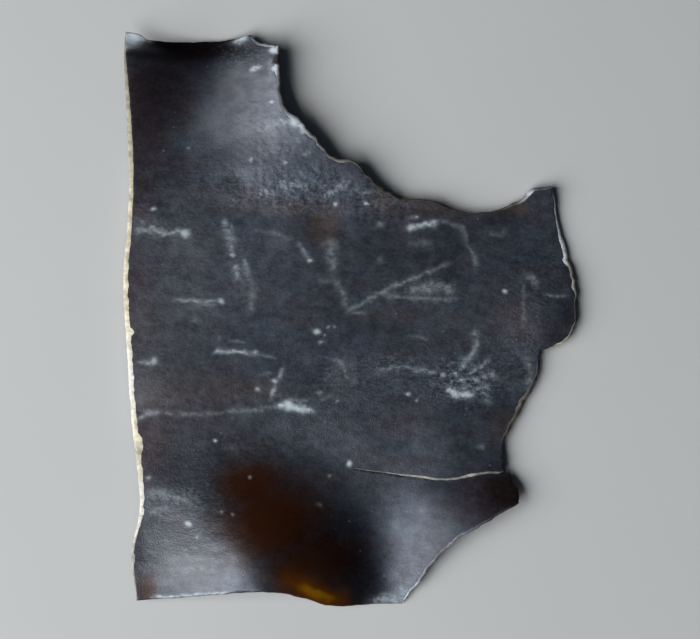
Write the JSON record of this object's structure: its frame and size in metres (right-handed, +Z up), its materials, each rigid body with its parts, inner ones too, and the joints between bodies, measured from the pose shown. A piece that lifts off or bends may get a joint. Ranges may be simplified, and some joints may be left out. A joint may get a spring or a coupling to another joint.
{
  "type": "dried kelp sheet",
  "caption": "Torn, wavy sheet of dried kelp with a straight knife-cut end, natural wavy margins and a crack, lying flat; for food displays.",
  "frame": {"origin": "centre of the sheet's bounding box, on the table's plane that it rests on", "axes": "+X along the blade's own length, away from the knife-cut end; +Y across the blade, towards the margin with the large torn-out corner; +Z up"},
  "size_m": [0.1012, 0.1272, 0.0117],
  "materials": {
    "kelp_skin": "dry, satin, almost black blue-grey, browner and slightly see-through at the thin margins, with a pale dusty bloom"
  },
  "bodies": {
    "root": {"kelp_sheet": "kelp_skin"}
  },
  "joints": []
}
